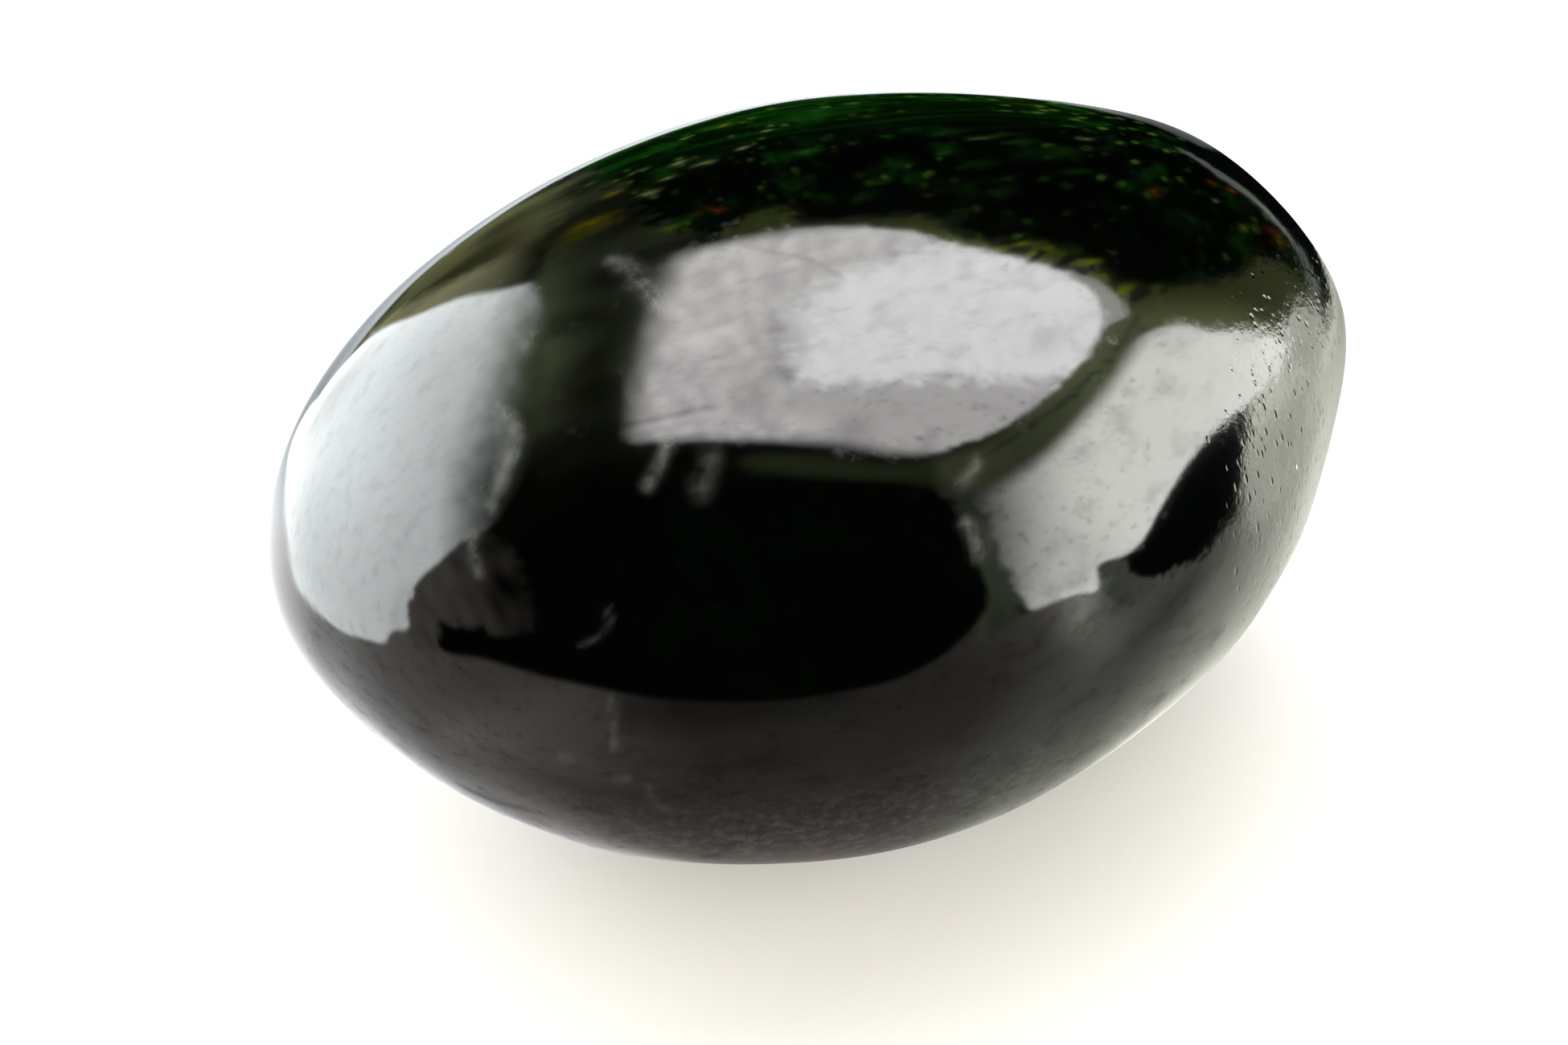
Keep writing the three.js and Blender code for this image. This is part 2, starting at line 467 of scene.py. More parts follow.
table = make_object("table", *round_sheet(TABLE_RADIUS, TABLE_RINGS, TABLE_SECTORS))
paper = bpy.data.materials.new("pale_board")
paper.use_nodes = True
board = Nodes(paper.node_tree)
on_table = board.add("ShaderNodeTexCoord").outputs["Object"]
distance = board.add("ShaderNodeVectorMath", {0: on_table}, operation="LENGTH").outputs["Value"]
glow = board.ramp(distance, GLOW_START, GLOW_END)
matt = board.add("ShaderNodeBsdfDiffuse", {"Color": TABLE_PAPER}).outputs[0]
shine = board.add("ShaderNodeEmission", {"Color": WHITE, "Strength": glow}).outputs[0]
both = board.add("ShaderNodeAddShader", {0: matt, 1: shine}).outputs[0]
board.add("ShaderNodeOutputMaterial", {"Surface": both})
paper.cycles.emission_sampling = "NONE"
table.data.materials.append(paper)

# The light tent: half an egg of thin glowing cloth that stands on the table round the pebble. It is no
# lamp:
# its glow is painted light, the painted reflections of bright panels, dark cloths and a black front that
# the polish mirrors. It is seen in reflections only, and isn't part of the object. Its sizes are to the
# right, away from the camera and upwards, from the point of the table under the middle of the pebble's
# box. The eye is the middle of that box, where the painting's rays start. The board is the tent's own
# floor, a little above the table, and carries the table's painted reflection. It reaches in under the
# pebble to a tilt near straight down.
TENT_MIDDLE = np.array([-7.0, 9.0, 0.0]) * MM
TENT_HALF = np.array([38.0, 24.0, 42.0]) * MM
TENT_EYE = np.array([0.0, 0.0, 9.08]) * MM
TENT_RINGS = 260
BOARD_RINGS = 60
TENT_SECTORS = 720
BOARD_LEVEL = 0.03 * MM
BOARD_DEEPEST = np.radians(172)


def tent_grid():
    """Points, faces and painting places of the tent. A point is where a ray from the eye meets the half
    egg or the board on which it stands. A ray has a tilt from straight up and a bearing from the camera's
    side. The painting place is that tilt in degrees, laid off to the right and towards the camera."""
    bearing = np.linspace(0, 2 * np.pi, TENT_SECTORS, endpoint=False)
    level = np.stack([np.sin(bearing), -np.cos(bearing), np.zeros_like(bearing)], axis=-1)
    reach = ray_length(np.zeros(3), level)
    lowest = np.pi / 2 + np.arctan2(TENT_EYE[2], reach)
    wall_tilt = np.linspace(INNERMOST_RING, 1, TENT_RINGS)[:, None] * lowest
    board_tilt = lowest + np.linspace(0, 1, BOARD_RINGS + 1)[1:, None] * (BOARD_DEEPEST - lowest)
    tilt = np.concatenate([wall_tilt, board_tilt])
    ray = np.stack([
        np.sin(tilt) * np.sin(bearing), -np.sin(tilt) * np.cos(bearing), np.cos(tilt)
    ], axis=-1).reshape(-1, 3)
    far = ray_length(TENT_EYE, ray)
    on_board = np.arange(len(ray)) >= TENT_RINGS * TENT_SECTORS
    far[on_board] = (BOARD_LEVEL - TENT_EYE[2]) / ray[on_board, 2]
    local = TENT_EYE + ray * far[:, None]
    right = np.array(view_right)
    away = np.array([-right[1], right[0], 0.0])
    up = np.array([0.0, 0.0, 1.0])
    points = local @ np.stack([right, away, up])
    number = np.arange(len(points)).reshape(-1, TENT_SECTORS)
    beside = np.roll(number, -1, axis=1)
    faces = np.stack([number[:-1], beside[:-1], beside[1:], number[1:]], axis=-1).reshape(-1, 4)
    degrees = np.degrees(tilt)
    spots = np.stack([degrees * np.sin(bearing), degrees * np.cos(bearing)], axis=-1).reshape(-1, 2)
    return points, faces, spots


def ray_length(start, ray):
    """How far a ray from inside the half egg's whole egg goes before it meets it: the larger root of the
    egg's quadratic equation."""
    offset = (start - TENT_MIDDLE) / TENT_HALF
    square = ((ray / TENT_HALF) ** 2).sum(axis=-1)
    half_linear = (ray / TENT_HALF) @ offset
    constant = offset @ offset - 1
    return (np.sqrt(half_linear ** 2 - square * constant) - half_linear) / square


# Painting of the tent's painted reflections. Light is in units of the board's white, and outlines and
# patches are in painting degrees.
# Corners of an outline are cut off by so many degrees, and then by less at the new corners.
CORNER_CUTS = (3.5, 1.2)
MOST_CUT = 0.25

# Tints are multiplied by a level of light, and plain colours are laid on as they are.
TINTS = {
    "olive smoke": (1.0, 1.20, 0.64),
    "far fold": (1.0, 1.04, 0.45),
    "near fold": (1.0, 1.02, 0.55),
    "cloth": (0.008, 0.100, 0.004),
    "fringe": (0.95, 1.25, 0.30),
    "right wall": (1.0, 1.12, 0.42),
    "side wall": (1.0, 1.04, 0.87),
    "flag edge": (0.96, 1.05, 0.92),
    "flag top": (0.95, 1.08, 1.02),
    "left panel": (0.95, 1.0, 1.01),
    "left panel's edge": (0.9, 1.15, 0.6),
    "right panel": (1.0, 1.0, 0.94),
    "gap": (1.0, 1.16, 0.62),
    "top panel": (1.0, 0.975, 0.965),
    "top panel's bright part": (-0.1, 0.22, 0.28),
    "hem": (1.0, 0.98, 0.88),
    "edge of the front": (1.0, 1.22, 0.76),
    "left hem": (1.04, 0.94, 0.82),
}
PLAIN_COLOURS = {
    "brown fold": (0.22, 0.21, 0.02),
    "cloth": (0.001, 0.003, 0.001),
    "flag": (0.004, 0.006, 0.006),
    "stripe": (2.6, 2.7, 2.5),
    "gap crease": (0.10, 0.14, 0.04),
    "corner": (3.9, 3.9, 3.5),
    "seam": (1.6, 1.6, 1.6),
    "curve": (3.4, 3.3, 3.2),
    "under the top panel": (0.19, 0.25, 0.11),
    "front": (0.001, 0.001, 0.001),
    "right flag": (0.001, 0.003, 0.004),
    "flag foot": (0.58, 0.66, 0.50),
}


def rounded(ends):
    """An outline with its corners cut off twice, the second time at the new corners. No cut takes more
    than a quarter of a side."""
    for cut in CORNER_CUTS:
        side = np.roll(ends, -1, axis=0) - ends
        length = np.linalg.norm(side, axis=1)[:, None]
        back = side * np.minimum(cut / length, MOST_CUT)
        ends = np.stack([ends + back, ends + side - back], axis=1).reshape(-1, 2)
    return ends


def inside(outline, softness, raggedness=0.0):
    """How far each painting place is inside an outline, from 0 to 1 over a soft edge of that many
    degrees. It is the distance to the nearest side, with the sign that the crossing rule gives.
    Raggedness moves the edge in and out by a fine ripple. Only places near the outline are reckoned; the
    rest are outside."""
    ends = rounded(np.array(outline, dtype=float))
    shift = raggedness * edge_ripple
    margin = softness + np.abs(shift).max()
    near = np.all((spots > ends.min(axis=0) - margin) & (spots < ends.max(axis=0) + margin), axis=1)
    places = spots[near]
    crossings = np.zeros(len(places), dtype=bool)
    nearest = np.full(len(places), np.inf)
    for start, end in zip(ends, np.roll(ends, -1, axis=0)):
        side = end - start
        part = np.clip((places - start) @ side / (side @ side), 0, 1)
        nearest = np.minimum(nearest, np.linalg.norm(places - start - part[:, None] * side, axis=1))
        if start[1] != end[1]:
            level_crossed = (start[1] > places[:, 1]) != (end[1] > places[:, 1])
            meets = start[0] + (places[:, 1] - start[1]) * side[0] / side[1]
            crossings ^= level_crossed & (places[:, 0] < meets)
    depth = np.where(crossings, nearest, -nearest) + shift[near]
    cover = np.zeros(len(spots))
    cover[near] = soft_step(depth, -softness / 2, softness / 2)
    return cover


def soft_step(value, low, high):
    """0 below the low value, 1 above the high one and an S-shaped curve between them."""
    part = np.clip((value - low) / (high - low), 0, 1)
    return part * part * (3 - 2 * part)


def bell(x, y, half_width, half_height):
    """A soft round patch at a painting place."""
    return np.exp(-(((right_spot - x) / half_width) ** 2) - ((front_spot - y) / half_height) ** 2)


def paint(cover, colour):
    """Lays one colour, or a colour for each place, over the tent's light where it is covered."""
    light[:] += cover[:, None] * (colour - light)


def tinted(level, name):
    """A colour for each painting place: its level times the tint of that name."""
    return level[:, None] * np.array(TINTS[name])


def plain(name):
    """The plain colour of that name."""
    return np.array(PLAIN_COLOURS[name])


tent_points, tent_faces, spots = tent_grid()
right_spot, front_spot = spots.T
tilt_spot = np.hypot(right_spot, front_spot)

# Unevenness, as wavelengths in degrees: a fine ripple along the edges, the panels' crinkle, which is
# drawn out towards the camera, slow smoke, and streaks from left to right.
TENT_SEED = 7
ripple_dice = np.random.default_rng(TENT_SEED)
flat_spots = np.column_stack([spots, np.zeros(len(spots))])
edge_ripple = rippling(flat_spots, 3.2, ripple_dice) + 0.6 * rippling(flat_spots, 1.5, ripple_dice)
crinkle = rippling(flat_spots * np.array([1.0, 0.45, 0.0]), 3.0, ripple_dice)
smoke = soft_step(rippling(flat_spots, 15.0, ripple_dice), -1.2, 1.2)
streak = soft_step(rippling(flat_spots * np.array([0.35, 1.5, 0.0]), 6.0, ripple_dice), -0.6, 1.6)

# Where nothing else is painted the tent is nearly black, with a dim olive smoke in it that ends above the
# front, and is thicker in two upright folds.
smoke_level = 0.03 + 0.08 * smoke + 0.36 * bell(-19, 4, 3.5, 26)
smoke_level += (0.30 + 0.26 * smoke) * bell(-36, -10, 6.5, 26)
light = tinted(smoke_level * (1 - 0.88 * soft_step(front_spot, 16, 36)), "olive smoke")

# The board on which the tent stands, and the foot of the cloth that mirrors its light: the table's painted
# reflection. It is painted bright where it is open and far from the pebble, and dim and warm with the
# pebble's painted shadow, towards the camera.
turned = np.degrees(np.arctan2(np.abs(right_spot), front_spot))
open_share = soft_step(turned, 80, 105)
right_share = soft_step(right_spot, 40, 80)
open_board = 0.85 + 3.2 * np.clip((130 - tilt_spot) / 35, 0, 1) ** 1.5
shaded_board = 0.25 + 0.40 * soft_step(turned, 15, 50) + 1.3 * soft_step(turned, 52, 98)
board_light = (shaded_board + open_share * (open_board - shaded_board)) * (1 - 0.15 * right_share)
# Painted shade in an upright band down the middle, above the board's edge, and painted light lifted on the
# left.
board_light *= 1 - 0.5 * soft_step(-np.abs(right_spot + 6), -34, -14) * soft_step(-tilt_spot, -97, -88)
left_lift = soft_step(-right_spot, 15, 40) * soft_step(front_spot, 66, 80)
board_light *= 1 + 0.8 * left_lift * soft_step(-tilt_spot, -118, -100)
board_light *= 1 + 0.35 * soft_step(-right_spot, 55, 85) * soft_step(front_spot, 15, 35)
far_light = 0.78 + 0.7 * soft_step(-tilt_spot, -106, -97)
board_light += soft_step(turned, 110, 132) * (far_light - board_light)
NEAR_TINT = np.array([1.10, 0.98, 0.90])
COOL_TINT = np.array([0.93, 1.01, 1.06])
RIGHT_TINT = np.array([1.0, 1.01, 0.87])
cool_share = np.maximum(0.6 * soft_step(-right_spot, 60, 110), soft_step(turned, 95, 120))
cool_share *= 1 - right_share
board_tint = NEAR_TINT + cool_share[:, None] * (COOL_TINT - NEAR_TINT)
board_tint += right_share[:, None] * (RIGHT_TINT - NEAR_TINT)
board_colour = board_light[:, None] * board_tint
paint(soft_step(tilt_spot, 95.0, 97.5), board_colour)

# Dark green cloth across the back, with olive folds at its sides. They end where the board begins.
above_board = soft_step(-tilt_spot, -96.5, -94.5)
FAR_FOLD = [(-80, -60), (-56, -80), (-38, -92), (-34, -70), (-37, -50), (-48, -44), (-62, -54)]
paint(above_board * inside(FAR_FOLD, 6.0, 0.6), tinted(0.13 + 0.20 * smoke, "far fold"))
NEAR_FOLD = [
    (-70, -66), (-62, -67), (-52, -57), (-44, -53), (-38, -52), (-36, -40), (-40, -34), (-50, -42),
    (-62, -54),
]
near_fold_level = (0.80 + 0.35 * smoke) * soft_step(-right_spot, 36, 48)
paint(above_board * inside(NEAR_FOLD, 5.0, 0.5), tinted(near_fold_level, "near fold"))
BROWN_FOLD = [(-33, -52), (-27, -51), (-26, -45), (-31, -43), (-35, -46)]
paint(inside(BROWN_FOLD, 4.0, 0.4), plain("brown fold"))
CLOTH = [
    (-34, -110), (-31, -80), (-29, -68), (-26, -58), (-24, -50), (-22, -42), (-20, -38), (-15, -33),
    (-11, -30), (-9, -35), (-6, -38), (-3, -37), (0, -30), (4, -29.5), (10, -29), (16, -28), (20, -23),
    (25, -19), (29, -18), (34, -13), (40, -9), (45, -5), (48, -8), (52, -8.5), (56, -12), (61, -15),
    (61, -20), (65, -26), (70, -28), (73, -30), (80, -34), (80, -110),
]
cloth = above_board * inside(CLOTH, 2.0, 0.7)
high_green = soft_step(tilt_spot, 54, 74) * (0.15 + 0.85 * streak) * soft_step(-right_spot, -34, -12)
paint(cloth, plain("cloth") + tinted(high_green, "cloth"))

# An olive fringe under the cloth, and the olive wall to the right of it.
FRINGE = [
    (-12, -28), (-10, -34), (-6, -37), (-3, -35), (0, -29), (5, -28), (10, -28), (16, -27), (20, -22),
    (26, -18), (34, -13), (42, -7), (47, -4), (46, 0), (36, -6), (22, -14), (10, -20), (-12, -24),
]
fringe_level = 0.26 + 0.5 * soft_step(front_spot, -28, -18)
paint(inside(FRINGE, 1.8, 0.6), tinted(fringe_level, "fringe"))
RIGHT_WALL = [
    (47, -4), (50, -7.5), (53, -8), (57, -11.5), (61, -14), (61.5, -19), (65, -25), (70, -27), (75, -29),
    (78, -24), (76, -12), (60, 0), (50, 1),
]
right_wall_level = 0.30 + 0.7 * soft_step(front_spot + 0.35 * (right_spot - 50), -8, 2)
paint(inside(RIGHT_WALL, 1.2, 0.5), tinted(right_wall_level, "right wall"))

# Painted glints in the cloth's reflection, as small bright folds, by colour: places to the right and
# towards the camera, and half widths.
GLINTS = {
    (0.95, 0.26, 0.02): [(40, -32, 1.3), (48, -41, 1.0), (52, -42, 0.9), (63, -35, 1.7), (-14, -39, 1.5)],
    (0.60, 0.50, 0.03): [
        (65, -33, 1.3), (-31, -49, 1.6), (-28, -59, 1.2), (21, -80, 1.2), (-15, -82, 1.2),
    ],
    (1.35, 1.60, 0.06): [
        (31, -16, 1.6), (26, -17, 1.0), (28, -18.5, 0.8), (38, -12.5, 1.2), (41, -10, 0.9),
        (45, -6.5, 1.3),
    ],
    (0.35, 0.60, 0.08): [
        (57, -29, 1.2), (59, -31, 1.1), (-19, -37, 1.6), (22, -19, 1.4), (49, -7, 1.0), (34, -15, 1.4),
    ],
    (0.90, 1.20, 0.45): [
        (27, -53, 0.8), (16, -53, 0.7), (14, -35, 0.7), (-23, -53, 1.1), (-17, -59, 1.0), (-20, -63, 0.8),
        (20, -89, 0.9), (-21, -57, 0.8), (-12, -62, 0.7), (-25, -66, 0.8), (-9, -70, 0.7), (50, -34, 0.7),
    ],
    (0.10, 0.42, 0.06): [
        (-38, -73, 1.5), (-32, -70, 1.3), (-3, -54, 1.3), (5, -57, 1.1), (7, -40, 1.1), (13, -48, 0.9),
        (40, -53, 0.9), (33, -64, 1.0), (18, -70, 0.9), (2, -82, 1.4), (25, -60, 0.8),
    ],
    (0.03, 0.16, 0.02): [
        (17, -54, 2.2), (20, -50, 2.0), (8, -45, 1.8), (17, -43, 1.8), (21, -33, 1.8), (28, -38, 1.7),
        (5, -36, 1.7), (47, -25, 2.4), (12, -57, 2.0), (58, -24, 2.2), (46, -36, 1.6),
    ],
}
GLINT_FLATNESS = 0.8
unbroken = above_board * soft_step(edge_ripple, -1.2, 0.4)
for glint, places in GLINTS.items():
    for x, y, half_width in places:
        paint(unbroken * bell(x, y, half_width, GLINT_FLATNESS * half_width), np.array(glint))

# A grey side wall on the far right, and a black flag with a thin pale edge in front of it.
SIDE_WALL = [
    (77, -27), (82, -33), (90, -40), (98, -34), (104, -14), (106, 4), (100, 16), (92, 14), (84, 9),
    (77, 4), (77, -10), (74, -17),
]
side_wall_level = 2.754 + 3.132 * bell(84, 0, 7, 11) + 1.296 * bell(77, -19, 3, 4)
side_wall_level *= 1 - 0.6 * soft_step(front_spot, 4, 16)
paint(inside(SIDE_WALL, 2.5, 0.4), tinted(side_wall_level, "side wall"))
FLAG_EDGE = [
    (39, -57), (46, -49), (50, -45), (55, -44.5), (61, -41), (66, -39.5), (70, -36), (75, -33), (80, -33),
    (79, -37), (73, -40), (67, -43), (61, -45), (55, -48), (48, -50), (44, -54),
]
flag_edge_level = 0.60 + 0.5 * bell(60, -42, 8, 5) + 1.0 * bell(77, -33, 3, 3)
paint(inside(FLAG_EDGE, 1.4, 0.15), tinted(flag_edge_level, "flag edge"))
FLAG = [
    (40, -60), (44, -55.5), (48, -51), (54, -49), (60, -46.5), (66, -44.5), (72, -41.5), (78, -38),
    (79, -45), (77, -54), (72, -66), (64, -84), (58, -110), (49, -130), (44, -110), (45, -80),
]
flag_cover = inside(FLAG, 1.2, 0.12)
paint(flag_cover, plain("flag"))
FLAG_TOP = [
    (24, -92), (30, -84), (36, -76), (42, -68), (45, -66), (47, -76), (46, -110), (40, -130), (27, -120),
]
flag_top_level = 0.22 + 0.25 * soft_step(-right_spot, -36, -26)
paint(inside(FLAG_TOP, 3.0, 0.2), tinted(flag_top_level, "flag top"))

# The left panel: cool white, brightest in its middle, with a soft crinkled right edge.
LEFT_PANEL = [
    (-105, -8), (-101, -22), (-96, -38), (-91, -50), (-87, -62), (-82, -68), (-75, -70.5), (-67, -66.5),
    (-62, -60.5), (-57, -52), (-52, -47.5), (-48, -44.5), (-44, -40), (-40, -37), (-37, -35), (-34, -20),
    (-34, 0), (-36, 18), (-39, 29), (-43, 37), (-46, 39.5), (-50, 39), (-53, 40.5), (-57, 42),
    (-61, 42.5), (-62.5, 48), (-65, 50.5), (-68, 51.5), (-71, 48.5), (-74, 48), (-77, 49.5), (-83, 44),
    (-94, 33), (-101, 20), (-104, 8),
]
left_light = 6.2 + 2.6 * bell(-70, -5, 18, 34) - 2.4 * bell(-74, -56, 12, 12) - 1.0 * bell(-66, 47, 7, 5)
left_fade = soft_step(-right_spot - 0.16 * front_spot + 0.35 * crinkle, 36, 51)
left_fade *= 1 - 0.45 * soft_step(right_spot, -56, -46) * soft_step(front_spot, 0, 30)
left_cover = inside(LEFT_PANEL, 2.0)
left_glow = 0.12 + 0.42 * bell(-36, -10, 10, 26)
paint(left_cover, tinted(left_light * left_fade, "left panel") + tinted(left_glow, "left panel's edge"))
STRIPE = [
    (-43, 1), (-40, 5), (-38.5, 14), (-39, 22), (-42, 30), (-45, 37), (-46, 33), (-43.5, 25), (-42.5, 15),
    (-43, 8),
]
paint(inside(STRIPE, 1.6, 0.25) * (0.45 + 0.25 * crinkle), plain("stripe"))

# The right panel, brightest at its top and dim towards its lower left, and the olive gap beside it.
RIGHT_PANEL = [
    (50, 5), (53, 0.5), (57, -1.5), (61, -1.5), (64, -3), (68, -6), (73, -10), (77, -14.5), (80, -11),
    (81, -4), (80, 3), (77, 7.5), (75, 12), (73, 18), (72, 26), (72, 34), (72, 41), (70, 46), (64, 51),
    (66, 53), (69, 55.5), (63, 58), (59, 61.5), (55, 65.5), (51, 65.5), (47.5, 63.5), (42, 60),
    (36, 58.5), (31, 57), (30, 50), (36, 40), (44, 24),
]
right_fade = soft_step(right_spot - 0.35 * (front_spot - 45), 28, 62)
right_light = 0.35 + 9.1 * right_fade + 0.5 * bell(74, -2, 6, 9)
right_light -= 2.0 * bell(62, 51, 9, 8) + 1.2 * bell(55, 1, 5, 5)
right_cover = inside(RIGHT_PANEL, 1.4)
paint(right_cover, tinted(right_light, "right panel"))
GAP = [
    (47, -3), (51, -1.5), (52, 3), (52, 9), (51.5, 15), (50, 21), (48.5, 27), (46, 33), (42.5, 38),
    (38.5, 43), (34, 47), (27, 46), (24, 40), (34, 34), (40, 24), (43, 12), (44, 2),
]
gap_cover = inside(GAP, 4.5)
gap_level = 0.46 + 0.50 * soft_step(-front_spot, -32, -12)
paint(gap_cover, tinted(gap_level, "gap"))
GAP_CREASE = [
    (50, -2), (50, 4), (48.8, 12), (46, 20), (42, 27), (38, 33), (34.5, 37), (33.8, 36.5), (37.2, 32.3),
    (41.2, 26.3), (45.2, 19.4), (47.8, 12), (49, 4), (49, -2),
]
paint(0.55 * inside(GAP_CREASE, 1.2, 0.2), plain("gap crease"))

# The top panel: neutral white on its right, dimmer and warmer towards its left and its lower edge, with a
# darker upright band and three level stripes near its lower left corner.
TOP_PANEL = [
    (-24, -20), (-23, -29), (-14, -29.5), (-6, -29), (2, -28), (10, -26), (18, -21.5), (24, -17.5),
    (30, -14), (36, -10.5), (41, -6.5), (45, -1.5), (45.5, 4), (44.8, 10), (43.5, 17), (41, 22.5),
    (37.5, 27.5), (32.5, 33), (27, 37), (22.5, 40), (17, 40.5), (10, 38.5), (3, 36.5), (-4, 34.5),
    (-8, 32), (-14, 31), (-24, 29),
]
top_cover = inside(TOP_PANEL, 1.6, 0.12) * soft_step(right_spot + 0.08 * (front_spot + 8), -21.5, -14.5)
top_cover *= soft_step(front_spot + 0.26 * np.maximum(right_spot - 12, 0), -29.5, -24.5)
top_cover *= soft_step(-front_spot + 0.24 * np.minimum(right_spot, 18), -36, -31.5)
BRIGHT_PART = [
    (2, -6), (3, 19), (9, 21), (18, 20.5), (26, 17.5), (34, 17.5), (46, 14), (56, 8), (56, -8), (44, -20),
    (30, -23), (12, -17),
]
bright_part = inside(BRIGHT_PART, 6.5, 0.8)
low_part = soft_step(front_spot + 0.28 * np.maximum(right_spot - 14, 0), 17, 22)
low_part *= soft_step(right_spot, 1, 5)
top_light = 7.3 + 3.1 * bright_part - (1.4 + 0.5 * crinkle) * low_part * (1 - bright_part)
top_light -= 1.4 * bell(0.5, 12, 2.6, 22) + 2.2 * bell(-4, 23, 2.6, 4.5) + 1.6 * bell(12, 33, 3.5, 4)
top_light += 1.2 * bell(5, 31, 4, 3.5) + 1.4 * bell(-10, 1, 4, 5) - 0.7 * bell(-12, 12, 6, 5)
top_light += 0.5 * crinkle * (1 - 0.6 * bright_part) - 1.3 * bell(14, -17, 9, 5)
LEVEL_STRIPES = {23.2: -3.0, 26.6: -1.0, 30.0: -2.4}
STRIPE_HALF_WIDTH = 1.1
for stripe_spot, change in LEVEL_STRIPES.items():
    stripe = np.exp(-(((front_spot - stripe_spot) / STRIPE_HALF_WIDTH) ** 2))
    top_light += change * stripe * soft_step(-right_spot, 6, 11)
top_light *= 1 - 0.25 * bell(38, 6, 3, 4) * soft_step(crinkle, -0.6, 0.8)
paint(top_cover, tinted(top_light, "top panel") + tinted(bright_part, "top panel's bright part"))
CORNER = [(37.5, -9.8), (41, -8), (44, -6), (48.5, -2), (46.5, 1), (45.2, 1.5), (44.2, -2), (41, -6.5)]
paint(inside(CORNER, 1.0), plain("corner"))
SEAM = [
    (37, -10), (41.2, -6.7), (44.6, -1.5), (45.6, 3), (45, 3.2), (43.9, -1.2), (40.6, -6.0), (36.6, -9.3),
]
paint(0.6 * inside(SEAM, 0.7), plain("seam"))
CURVE = [
    (-11, -27), (-5, -24), (1, -20), (5, -15.5), (8, -10.5), (7.3, -10.2), (4.3, -15), (0.5, -19.3),
    (-5.5, -23.2),
]
paint(0.4 * inside(CURVE, 0.7), plain("curve"))
UNDER_TOP = [
    (-6, 37), (4, 38), (12, 40), (20, 41.5), (28, 39.5), (36, 36), (33, 44), (24, 45), (8, 44), (-4, 41),
]
paint(inside(UNDER_TOP, 4.0) * (1 - top_cover) * (1 - gap_cover), plain("under the top panel"))

# The foot of the tent's front: the board's dim light, with the pebble's painted shadow, mirrored by the
# cloth as a painted reflection. A painted brighter patch lies under the right panel, and a painted dark
# one right of it.
FRONT_HEM = [
    (-130, 10), (-105, 6), (-102, 20), (-95, 33), (-84, 43.5), (-77, 49), (-71, 48.5), (-67, 51),
    (-63, 50), (-61.5, 59), (-52, 64), (-46, 69), (-40, 73.5), (-30, 79.5), (-20, 83.5), (-6, 87),
    (6, 87.5), (22, 86), (31, 81.5), (37, 76), (41, 69), (46, 70), (52, 66), (59, 61), (64, 58), (69, 55),
    (66, 52.5), (64, 51), (70, 46), (80, 46), (94, 28), (98, 12), (130, 8), (130, 130), (-130, 130),
]
hem_colour = board_colour * (1 - 0.5 * bell(98, 38, 9, 18) - 0.35 * bell(50, 84, 18, 16))[:, None]
hem_colour += tinted(1.6 * bell(66, 60, 8, 6) + 0.45 * bell(80, 60, 10, 8), "hem")
hem_cover = inside(FRONT_HEM, 1.8)
paint(hem_cover, hem_colour)
# A thin painted dark line in the hem's reflection, low on the left.
HEM_DARK_LINE = [
    (-107, 62), (-100.5, 73), (-91.5, 84), (-79, 96), (-77, 97.5), (-91, 86.5), (-101, 75.5),
    (-107.5, 64),
]
paint(0.7 * inside(HEM_DARK_LINE, 1.5), 0.25 * hem_colour)

# The black front, a dark green edge on its right, and the black flag at the foot of the right panel.
EDGE_OF_FRONT = [(26, 44), (34, 45), (38, 54), (44, 60), (51, 66), (47, 72), (41, 74), (37, 62), (31, 52)]
paint(inside(EDGE_OF_FRONT, 4.0, 0.5), tinted(0.24 + 0.16 * smoke, "edge of the front"))
FRONT = [
    (-61, 59), (-58, 52.5), (-50, 50), (-42, 43), (-33, 41), (-26, 40.5), (-15, 42), (-2, 44.5), (11, 45),
    (22, 45.5), (29, 48), (33, 53), (37, 60), (42, 66), (40, 71), (37, 76), (31, 81.5), (22, 86),
    (6, 87.5), (-6, 87), (-20, 83.5), (-30, 79.5), (-40, 73.5), (-46, 69), (-52, 64),
]
paint(inside(FRONT, 1.8), plain("front"))
LEFT_HEM = [
    (-64, 45), (-62, 43.5), (-56, 42), (-50, 39.5), (-45, 40), (-42.5, 45), (-41.5, 53), (-41.5, 62),
    (-45, 63.5), (-50, 59.5), (-56, 55), (-59, 53.5), (-61, 60), (-66, 57), (-68, 53),
]
left_hem_level = 0.10 + 0.42 * soft_step(-right_spot, 43, 57) + 0.04 * crinkle
paint(inside(LEFT_HEM, 2.2, 0.3), tinted(left_hem_level, "left hem"))
RIGHT_FLAG = [
    (75.5, 11), (77, 8.5), (80, 5.5), (85, 6), (89, 8), (92, 14), (92.5, 21), (94, 27), (91, 34),
    (86, 41), (80, 46.5), (74, 48.5), (70.5, 46), (72, 41), (72, 34), (72.5, 26), (73.5, 18),
]
paint(inside(RIGHT_FLAG, 0.9, 0.1 + 1.0 * soft_step(right_spot, 80, 90)), plain("right flag"))
FLAG_FOOT = [(64, 51), (70, 46.5), (75, 49), (81, 47), (83, 51), (78, 54), (70, 55), (66, 53)]
paint(inside(FLAG_FOOT, 0.9), plain("flag foot"))

# How strongly the painted shade of creases and flecks shows on each panel, and the most light that the
# dark cloth has where its tufts show.
MOTTLE = {"top": 0.27, "top, low part": 0.20, "left": 0.22, "right": 0.38, "hem": 0.42}
DARK_CLOTH = 0.2

